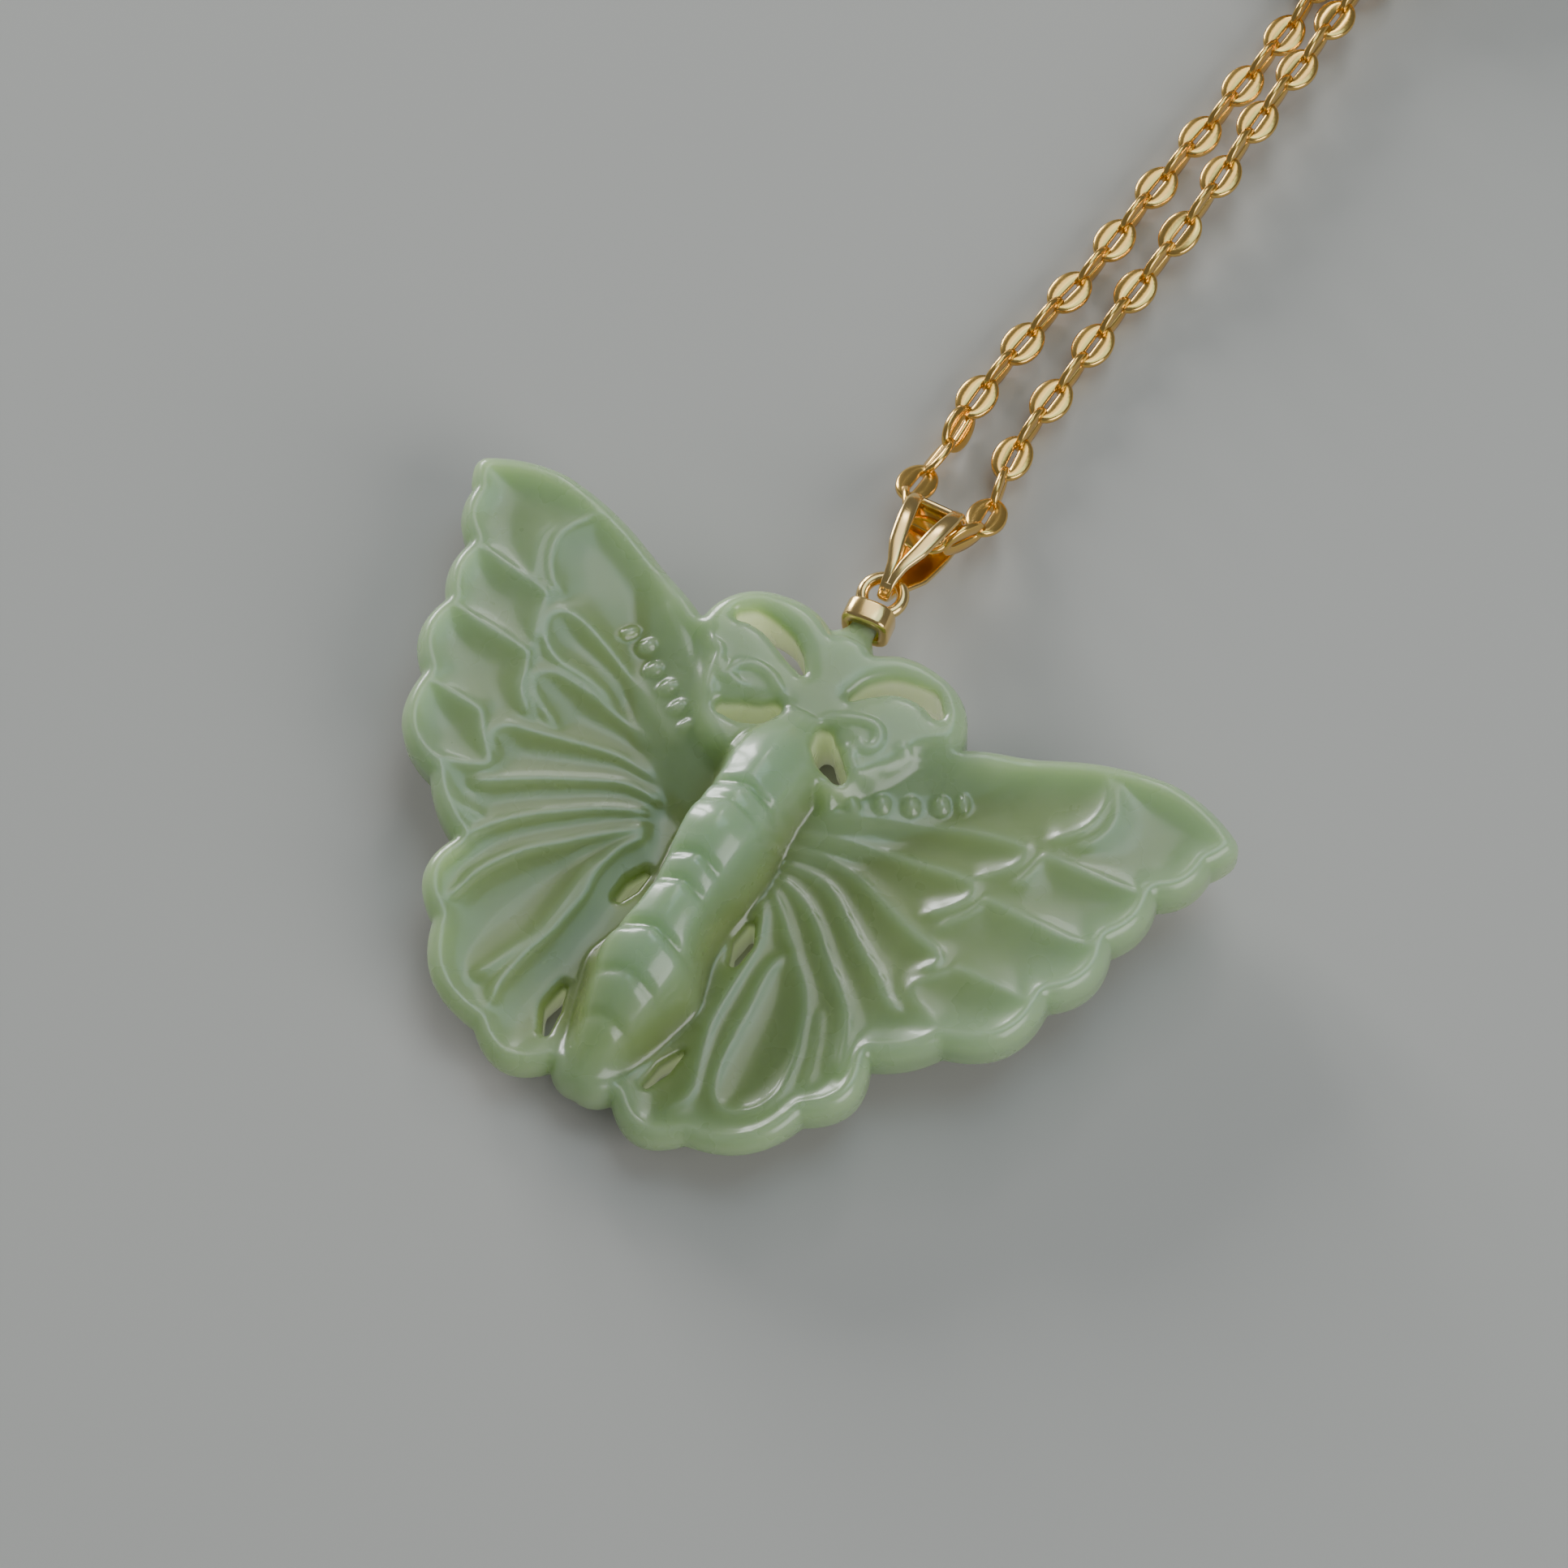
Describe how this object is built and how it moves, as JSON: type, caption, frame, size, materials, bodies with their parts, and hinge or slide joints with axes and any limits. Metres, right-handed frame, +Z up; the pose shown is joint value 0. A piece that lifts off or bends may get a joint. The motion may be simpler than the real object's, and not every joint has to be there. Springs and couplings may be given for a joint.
{
  "type": "jade butterfly pendant",
  "caption": "Carved translucent jade butterfly pendant lying face up, with a gold-plated cap, a V-shaped bail and a fine flat cable chain whose spare length is coiled behind it.",
  "frame": {"origin": "on the table, at the middle of the flat belly that the jade rests on", "axes": "+X towards the butterfly's right wing tip in the picture, +Y towards its head, the bail and the chain, +Z up out of the carved face"},
  "size_m": [0.0306, 0.0733, 0.006],
  "materials": {
    "jade": "polished waxy grey-green nephrite, translucent at thin edges",
    "gold_plate": "bright polished gold plate",
    "gold_chain": "polished gold-plated flat links"
  },
  "bodies": {
    "root": {"jade_butterfly": "jade", "bail_cap": "gold_plate", "bail": "gold_plate", "chain": "gold_chain", "chain_coil": "gold_chain"}
  },
  "joints": []
}
